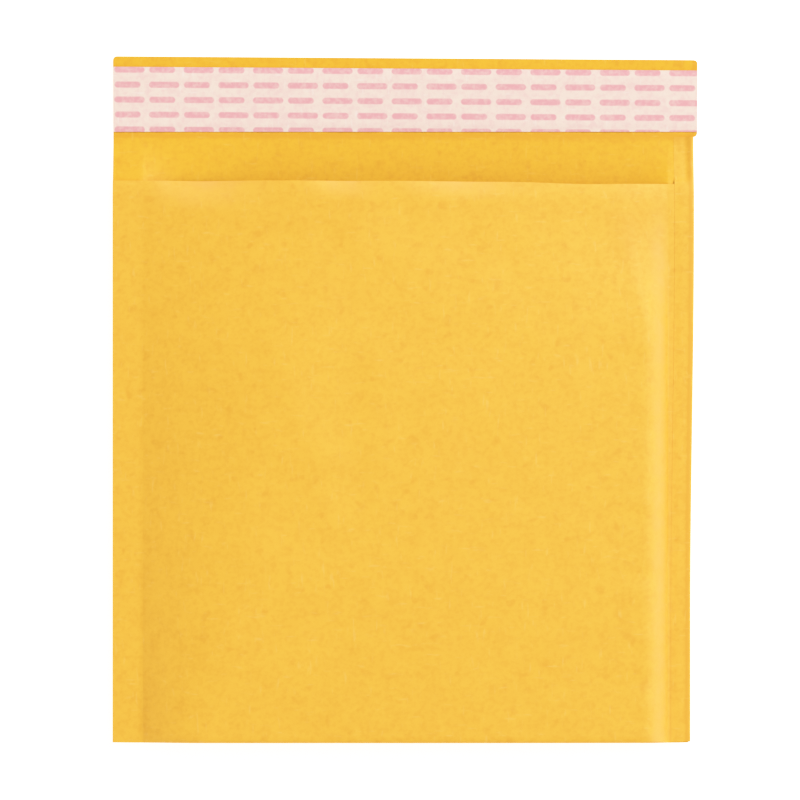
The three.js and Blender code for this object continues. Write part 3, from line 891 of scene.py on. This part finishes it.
offset = node(bubbles, "ShaderNodeCombineXYZ", {"X": shift, "Y": middle}).outputs[0]
points = node(bubbles, "GeometryNodeSetPosition", {"Geometry": grid, "Offset": offset}).outputs[0]
print("rows are", ROW_SHARE, "of a pitch apart")

# %% [markdown]
# Rays are cast at the film from below and from above each place. Where they meet it
# tells where a dome stands, and how much room there is between the two plies.

# %% Bubble tree: rays onto the film
FAR = 0.1  # metres above and below, from where the rays start
LEAST_GAP = 0.0012  # metres: no domes where the pocket is narrower


def vector_calc(tree, operation, *values):
    """One step of vector arithmetic, which gives back its output."""
    inputs = dict(enumerate(values))
    return node(tree, "ShaderNodeVectorMath", inputs, operation=operation).outputs[0]


def cast(side):
    """Where the film's outer face is, cast from below (-1) or from above (1)."""
    level = vector_calc(bubbles, "MULTIPLY", each_place(), (1, 1, 0))
    return node(bubbles, "GeometryNodeRaycast", {
        "Target Geometry": given["Film"],
        "Source Position": vector_calc(bubbles, "ADD", level, (0, 0, side * FAR)),
        "Ray Direction": (0, 0, -side),
        "Ray Length": 2 * FAR,
    }).outputs


below, above = cast(-1), cast(1)
between = vector_calc(bubbles, "SUBTRACT", above["Hit Position"], below["Hit Position"])
both_plies = calc(bubbles, "MULTIPLY", given["Film thickness"], 2)
gap = calc(bubbles, "SUBTRACT", part_of(between, "Z"), both_plies)
wide_enough = calc(bubbles, "GREATER_THAN", gap, LEAST_GAP)
print("no domes under", LEAST_GAP / MM, "mm of room")

# %% [markdown]
# One dome is a coarse ball, cut in half, closed with a floor and squared up, so that
# its wall is steep and its top flat. It has a radius and a height of 1.

# %% Bubble tree: one dome
DOME_SIDES, DOME_RINGS = 12, 6
CLOSE = 0.01  # points nearer than this count as one
SQUARER = -0.32  # power of the distance from the middle, by which a point moves out

ball = node(bubbles, "GeometryNodeMeshUVSphere", {
    "Segments": DOME_SIDES, "Rings": DOME_RINGS, "Radius": 1}).outputs[0]
lower = node(bubbles, "FunctionNodeCompare", {
    0: part_of(each_place(), "Z"), 1: -CLOSE}, operation="LESS_THAN").outputs[0]
half_ball = node(bubbles, "GeometryNodeDeleteGeometry", {
    "Geometry": ball, "Selection": lower}, domain="FACE").outputs[0]
disc = node(bubbles, "GeometryNodeMeshCircle", {
    "Vertices": DOME_SIDES, "Radius": 1}, fill_type="NGON").outputs[0]
disc = node(bubbles, "GeometryNodeFlipFaces", {"Mesh": disc}).outputs[0]
joined = node(bubbles, "GeometryNodeJoinGeometry")
bubbles.links.new(half_ball, joined.inputs[0])
bubbles.links.new(disc, joined.inputs[0])
shell = node(bubbles, "GeometryNodeMergeByDistance", {
    "Geometry": joined.outputs[0], "Distance": CLOSE}).outputs[0]

level = vector_calc(bubbles, "MULTIPLY", each_place(), (1, 1, 0))
from_middle = node(bubbles, "ShaderNodeVectorMath", {0: level}, operation="LENGTH").outputs["Value"]
swell = calc(bubbles, "POWER", calc(bubbles, "MAXIMUM", from_middle, CLOSE), SQUARER)
scaled = node(bubbles, "ShaderNodeCombineXYZ", {"X": swell, "Y": swell, "Z": 1.0}).outputs[0]
dome = node(bubbles, "GeometryNodeSetPosition", {
    "Geometry": shell, "Position": vector_calc(bubbles, "MULTIPLY", each_place(), scaled)}).outputs[0]
dome = node(bubbles, "GeometryNodeSetShadeSmooth", {"Geometry": dome}).outputs[0]
print("a dome has", DOME_SIDES, "sides")

# %% [markdown]
# Every place gets a copy. Where the pocket is narrow the domes are lower, no two hold
# quite the same air, and a few have lost a good part of it.

# %% Bubble tree: how tall each dome is
ROOM_SHARE = 0.42  # of the gap between the plies, for each layer's domes
LEAST_AIR = 0.86  # share of its full height that a sound dome has at the least
LEAKY_SHARE, AIR_LOST = 0.05, 0.55


def chance(low, high, seed):
    """A number for each dome, drawn between two others."""
    inputs = {2: low, 3: high, "Seed": seed}
    return node(bubbles, "FunctionNodeRandomValue", inputs, data_type="FLOAT").outputs[1]


air = chance(LEAST_AIR, 1.0, given["Seed"])
other_seed = calc(bubbles, "ADD", given["Seed"], 1)
is_leaky = calc(bubbles, "LESS_THAN", chance(0.0, 1.0, other_seed), LEAKY_SHARE)
kept_air = calc(bubbles, "SUBTRACT", 1.0, calc(bubbles, "MULTIPLY", is_leaky, AIR_LOST))
air = calc(bubbles, "MULTIPLY", air, kept_air)
room = calc(bubbles, "MULTIPLY", gap, ROOM_SHARE)
tall = calc(bubbles, "MULTIPLY", calc(bubbles, "MINIMUM", given["Height"], room), air)
size = node(bubbles, "ShaderNodeCombineXYZ", {"X": given["Radius"], "Y": given["Radius"], "Z": tall})
copies = node(bubbles, "GeometryNodeInstanceOnPoints", {
    "Points": points, "Selection": wide_enough, "Instance": dome, "Scale": size.outputs[0]}).outputs[0]
level_domes = node(bubbles, "GeometryNodeRealizeInstances", {"Geometry": copies}).outputs[0]
print("about", round(100 * LEAKY_SHARE), "in 100 domes have lost air")

# %% [markdown]
# Last, every point of every dome is bent onto the film: it goes to where its own ray
# meets the film, and from there inwards by its height. So a dome on a slope stays
# sealed to it.

# %% Bubble tree: bend the domes onto the film
SUNK = 0.6  # share of the film's thickness by which a dome's floor is sunk into it

rise = calc(bubbles, "MULTIPLY_ADD", given["Film thickness"], SUNK, part_of(each_place(), "Z"))
layers = node(bubbles, "GeometryNodeJoinGeometry")
for hit, side in ((below, -1), (above, 1)):
    # A ray that slips between two faces meets the inner face, whose normal is the other way
    facing = calc(bubbles, "SIGN", part_of(hit["Hit Normal"], "Z"))
    inward = calc(bubbles, "MULTIPLY", rise, calc(bubbles, "MULTIPLY", facing, -side))
    move = node(bubbles, "ShaderNodeVectorMath", {
        0: hit["Hit Normal"], "Scale": inward}, operation="SCALE").outputs[0]
    bent = node(bubbles, "GeometryNodeSetPosition", {
        "Geometry": level_domes, "Selection": hit["Is Hit"],
        "Position": vector_calc(bubbles, "ADD", hit["Hit Position"], move)}).outputs[0]
    if side > 0:
        bent = node(bubbles, "GeometryNodeFlipFaces", {"Mesh": bent}).outputs[0]
    bubbles.links.new(bent, layers.inputs[0])
bubbles.links.new(given["Film"], layers.inputs[0])
real = node(bubbles, "GeometryNodeRealizeInstances", {"Geometry": layers.outputs[0]}).outputs[0]
finished = node(bubbles, "GeometryNodeSetMaterial", {
    "Geometry": real, "Material": given["Material"]}).outputs[0]
node(bubbles, "NodeGroupOutput", {"Geometry": finished})
print("bubble tree has", len(bubbles.nodes), "nodes")

# %% [markdown]
# ## Film finish
#
# Clear film shows mainly by its gloss and by a slight milkiness, which is stronger
# where it is creased. It is a glossy, partly see-through plastic, and a noise varies
# how milky it is and how sharp its reflections are.

# %% Film material
clear_film, tree, shader = new_material("clear film")
place = node(tree, "ShaderNodeTexCoord").outputs["Object"]
crinkle = noise(tree, place, 160, 3, 0.6)
milky = ramp(tree, noise(tree, place, 420, 3, 0.6), 0.4, 0.8)
tint = blend(tree, milky, (0.9, 0.92, 0.925, 1), (0.97, 0.975, 0.97, 1))
tree.links.new(tint, shader.inputs["Base Color"])
tree.links.new(calc(tree, "MULTIPLY_ADD", crinkle, 0.25, 0.06), shader.inputs["Roughness"])
grazing = node(tree, "ShaderNodeLayerWeight", {"Blend": 0.3}).outputs["Facing"]
clear = calc(tree, "MULTIPLY_ADD", milky, 0.12, 0.14)
tree.links.new(calc(tree, "MULTIPLY_ADD", grazing, 0.5, clear, clamp=True), shader.inputs["Alpha"])
bump = node(tree, "ShaderNodeBump", {"Height": crinkle, "Strength": 0.5, "Distance": 0.0004})
tree.links.new(bump.outputs["Normal"], shader.inputs["Normal"])
shader.inputs["IOR"].default_value = 1.5
print(clear_film.name, "is see-through")

# %% Put the bubbles on the film
BUBBLE_PITCH, BUBBLE_RADIUS, BUBBLE_HEIGHT = 10.5, 4.7, 2.3
WELD_ROOM = 1.5  # between the outermost domes and the welds
BUBBLE_SEED = 4

film = add_piece("bubble_film", film_mesh, [clear_film] * 3)


def apply_nodes(piece, group, values):
    """Runs a node tree on a piece with these inputs, and keeps the result as its mesh."""
    modifier = piece.modifiers.new(group.name, "NODES")
    modifier.node_group = group
    numbers = {item.name: item.identifier for item in group.interface.items_tree
               if item.in_out == "INPUT"}
    for name, value in values.items():
        modifier[numbers[name]] = value
    graph = bpy.context.evaluated_depsgraph_get()
    result = bpy.data.meshes.new_from_object(piece.evaluated_get(graph))
    piece.modifiers.clear()
    piece.data = result


apply_nodes(film, bubbles, {
    "Pitch": BUBBLE_PITCH * MM,
    "Radius": BUBBLE_RADIUS * MM,
    "Height": BUBBLE_HEIGHT * MM,
    "Film thickness": FILM * MM,
    "Half width": (CUSHION_X - BUBBLE_RADIUS - WELD_ROOM) * MM,
    "Low end": (BOTTOM_FOLD_Y + FOLD_DEPTH + BUBBLE_RADIUS) * MM,
    "High end": (MOUTH_Y - SLANT - LINING_SETBACK - BUBBLE_RADIUS) * MM,
    "Seed": BUBBLE_SEED,
    "Material": clear_film,
})
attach(film, "root")
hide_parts("bubble_lining")
print(film.name, "has", len(film.data.polygons), "faces")

# %% [markdown]
# ## Adhesive and release liner
#
# The adhesive is a low band of amber hot melt. The liner is a strip of smooth
# siliconised paper over it, wider than the adhesive, so its long edges hang free and
# drop a thin shadow on the flap. Both are sheets over the flap, and both follow it.

# %% Strip grids
ADHESIVE_INSET, ADHESIVE_END_INSET = 3.2, 1.5
LINER_THICK, ADHESIVE_THICK, STRIP_AIR = 0.1, 0.3, 0.05
liner_low, liner_high = (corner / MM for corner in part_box("release_liner"))
LINER_LOW_Y = liner_low.y
LINER_TOP_MARGIN = FLAP_END_Y - liner_high.y
STRIP_COLUMNS = 125


def strip_grids(low_y, high_margin, end_inset, lift, thickness):
    """Two faces of a strip over the flap. lift and thickness may vary along it."""
    columns = np.linspace(LEFT_X + end_inset, FLAP_RIGHT_X - end_inset, STRIP_COLUMNS)
    shares = graded_both(1, 0.015, 0.06)
    x = np.broadcast_to(columns, (len(shares), len(columns)))
    y = lerp(low_y, flap_end_y(x) - high_margin, shares[:, None])
    foot = rear_height(x, y) + PAPER + lift(x, shares[:, None])
    top = foot + thickness(x, shares[:, None])
    return np.stack([x, y, top], axis=-1), np.stack([x, y, foot], axis=-1)


RIB_COUNT, RIB_HEIGHT, WOBBLE_HEIGHT = 7, 0.03, 0.02
EDGE_THICK = 0.08


def adhesive_thickness(x, share):
    """Hot melt has rounded long edges and fine ribs from its nozzle."""
    rounded = np.clip(1 - np.abs(2 * share - 1) ** 6, 0, 1) ** 0.5
    ribs = RIB_HEIGHT * np.sin(share * 2 * np.pi * RIB_COUNT)
    wobble = WOBBLE_HEIGHT * np.sin(x * 0.9 + 2 * np.sin(x * 0.13))
    middle_thick = ADHESIVE_THICK - EDGE_THICK - RIB_HEIGHT - WOBBLE_HEIGHT
    return EDGE_THICK + (middle_thick + ribs + wobble) * rounded


LINER_SAG = 0.24  # the liner's long edges come down this much beside the adhesive
SAGS_FROM = 0.72  # share of the way from the liner's middle to its edge
LINER_RIPPLE = 0.1


def liner_lift(x, share):
    """The liner lies on the adhesive, and its long edges sag, with a slight ripple."""
    off_middle = np.abs(2 * share - 1)
    sag = LINER_SAG * smooth((off_middle - SAGS_FROM) / (1 - SAGS_FROM))
    ripple = LINER_RIPPLE * (0.5 + 0.5 * np.sin(x * 0.21 + 1.7 * np.sin(x * 0.043)))
    return 2 * STRIP_AIR + ADHESIVE_THICK - sag + ripple * off_middle**2


adhesive_mesh = sheet_mesh("adhesive_band", *strip_grids(
    LINER_LOW_Y + ADHESIVE_INSET, LINER_TOP_MARGIN + ADHESIVE_INSET, ADHESIVE_END_INSET,
    lambda x, share: STRIP_AIR + 0 * x, adhesive_thickness))
liner_mesh = sheet_mesh("peel_liner", *strip_grids(
    LINER_LOW_Y, LINER_TOP_MARGIN, 0, liner_lift, lambda x, share: LINER_THICK + 0 * x))

# %% [markdown]
# ## Adhesive finish
#
# Hot melt is amber, glossy and slightly cloudy. The liner hides nearly all of it, but
# it can be seen from the ends and under the liner's edges.

# %% Adhesive material
amber, tree, shader = new_material("hot melt")
place = node(tree, "ShaderNodeTexCoord").outputs["Object"]
cloudy = noise(tree, place, 240, 3, 0.6)
streaks = noise(tree, place, 500, 2, 0.5, stretch=(0.08, 1, 1))
amber_tone = blend(tree, cloudy, (0.72, 0.5, 0.17, 1), (0.86, 0.7, 0.36, 1))
tree.links.new(amber_tone, shader.inputs["Base Color"])
tree.links.new(calc(tree, "MULTIPLY_ADD", streaks, 0.3, 0.15), shader.inputs["Roughness"])
bump = node(tree, "ShaderNodeBump", {"Height": streaks, "Strength": 0.4, "Distance": 0.0002})
tree.links.new(bump.outputs["Normal"], shader.inputs["Normal"])
adhesive = add_piece("adhesive_band", adhesive_mesh, [amber] * 3)
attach(adhesive, "root")
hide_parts("adhesive_strip")
print(adhesive.name, "is in place")

# %% [markdown]
# ## Liner print
#
# Peel strips carry small marks in rows, so that the user sees what to pull. Here they
# are plain rounded dashes, long and short by turns, and every second row is shifted by
# half a period. The pattern follows the strip, so the mesh carries the distance along
# it and across it, and arithmetic nodes draw each dash as a rounded bar with soft,
# slightly starved ink.

# %% Liner pattern
x, y, _ = mesh_points(liner_mesh).T
liner_top = flap_end_y(x) - LINER_TOP_MARGIN
store(liner_mesh, "strip_along", x - LEFT_X)
store(liner_mesh, "strip_across", liner_top - y)

ROW_PITCH, DASH_HEIGHT, PERIOD = 4.72, 1.9, 22.0
FIRST_ROW = 0.9  # the top row is cut by the liner's edge
DASHES = [(5.2, 9.6), (15.6, 8.2)]  # middle and length of each dash in a period
INK_BLEED = 0.22  # a dash's edge fades over this much to each side

liner_print = bpy.data.node_groups.new("dashed print", "ShaderNodeTree")
socket(liner_print, "Row pitch", "Float", value=ROW_PITCH)
socket(liner_print, "Period", "Float", value=PERIOD)
socket(liner_print, "Dash height", "Float", value=DASH_HEIGHT)
socket(liner_print, "Ink", "Float", "OUTPUT")
given = node(liner_print, "NodeGroupInput").outputs
along = node(liner_print, "ShaderNodeAttribute", attribute_name="strip_along").outputs["Fac"]
across = node(liner_print, "ShaderNodeAttribute", attribute_name="strip_across").outputs["Fac"]
from_first = calc(liner_print, "SUBTRACT", across, FIRST_ROW)
rows_down = calc(liner_print, "DIVIDE", from_first, given["Row pitch"])
row = calc(liner_print, "ROUND", rows_down)
from_row = calc(liner_print, "MULTIPLY", calc(liner_print, "SUBTRACT", rows_down, row), given["Row pitch"])
shifted = calc(liner_print, "MULTIPLY", calc(liner_print, "FLOORED_MODULO", row, 2), 0.5)
turns = calc(liner_print, "ADD", calc(liner_print, "DIVIDE", along, given["Period"]), shifted)
in_period = calc(liner_print, "MULTIPLY", calc(liner_print, "FRACT", turns), given["Period"])
radius = calc(liner_print, "MULTIPLY", given["Dash height"], 0.5)
ink = None
for middle, dash_length in DASHES:
    aside = calc(liner_print, "ABSOLUTE", calc(liner_print, "SUBTRACT", in_period, middle))
    straight = calc(liner_print, "SUBTRACT", dash_length / 2, radius)
    past = calc(liner_print, "MAXIMUM", calc(liner_print, "SUBTRACT", aside, straight), 0.0)
    squares = calc(liner_print, "ADD", calc(liner_print, "MULTIPLY", past, past),
                   calc(liner_print, "MULTIPLY", from_row, from_row))
    distance = calc(liner_print, "SUBTRACT", calc(liner_print, "SQRT", squares), radius)
    bar = ramp(liner_print, calc(liner_print, "MULTIPLY", distance, -1.0), -INK_BLEED, INK_BLEED)
    ink = bar if ink is None else calc(liner_print, "MAXIMUM", ink, bar)
node(liner_print, "NodeGroupOutput", {"Ink": ink})
print("dashes of", [length for _, length in DASHES], "mm every", PERIOD, "mm")

# %% Liner material
liner_paper, tree, shader = new_material("release liner")
paper_look = node(tree, "ShaderNodeGroup", {
    "Base": (0.84, 0.655, 0.555, 1), "Deep": (0.8, 0.555, 0.5, 1), "Pale": (0.86, 0.72, 0.66, 1),
    "Mottle": 1.3, "Roughness": 0.45,
}, node_tree=fibres)
printed = node(tree, "ShaderNodeGroup", node_tree=liner_print).outputs["Ink"]
place = node(tree, "ShaderNodeTexCoord").outputs["Object"]
starved = ramp(tree, noise(tree, place, 700, 2, 0.6), 0.3, 0.62)
coverage = calc(tree, "MULTIPLY", printed, calc(tree, "MULTIPLY_ADD", starved, 0.35, 0.6))
inked = blend(tree, coverage, paper_look.outputs["Color"], (0.735, 0.315, 0.345, 1))
tree.links.new(inked, shader.inputs["Base Color"])
tree.links.new(paper_look.outputs["Roughness"], shader.inputs["Roughness"])
liner = add_piece("peel_liner", liner_mesh, [liner_paper] * 3)
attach(liner, "root")
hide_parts("release_liner")
print(liner.name, "is in place")
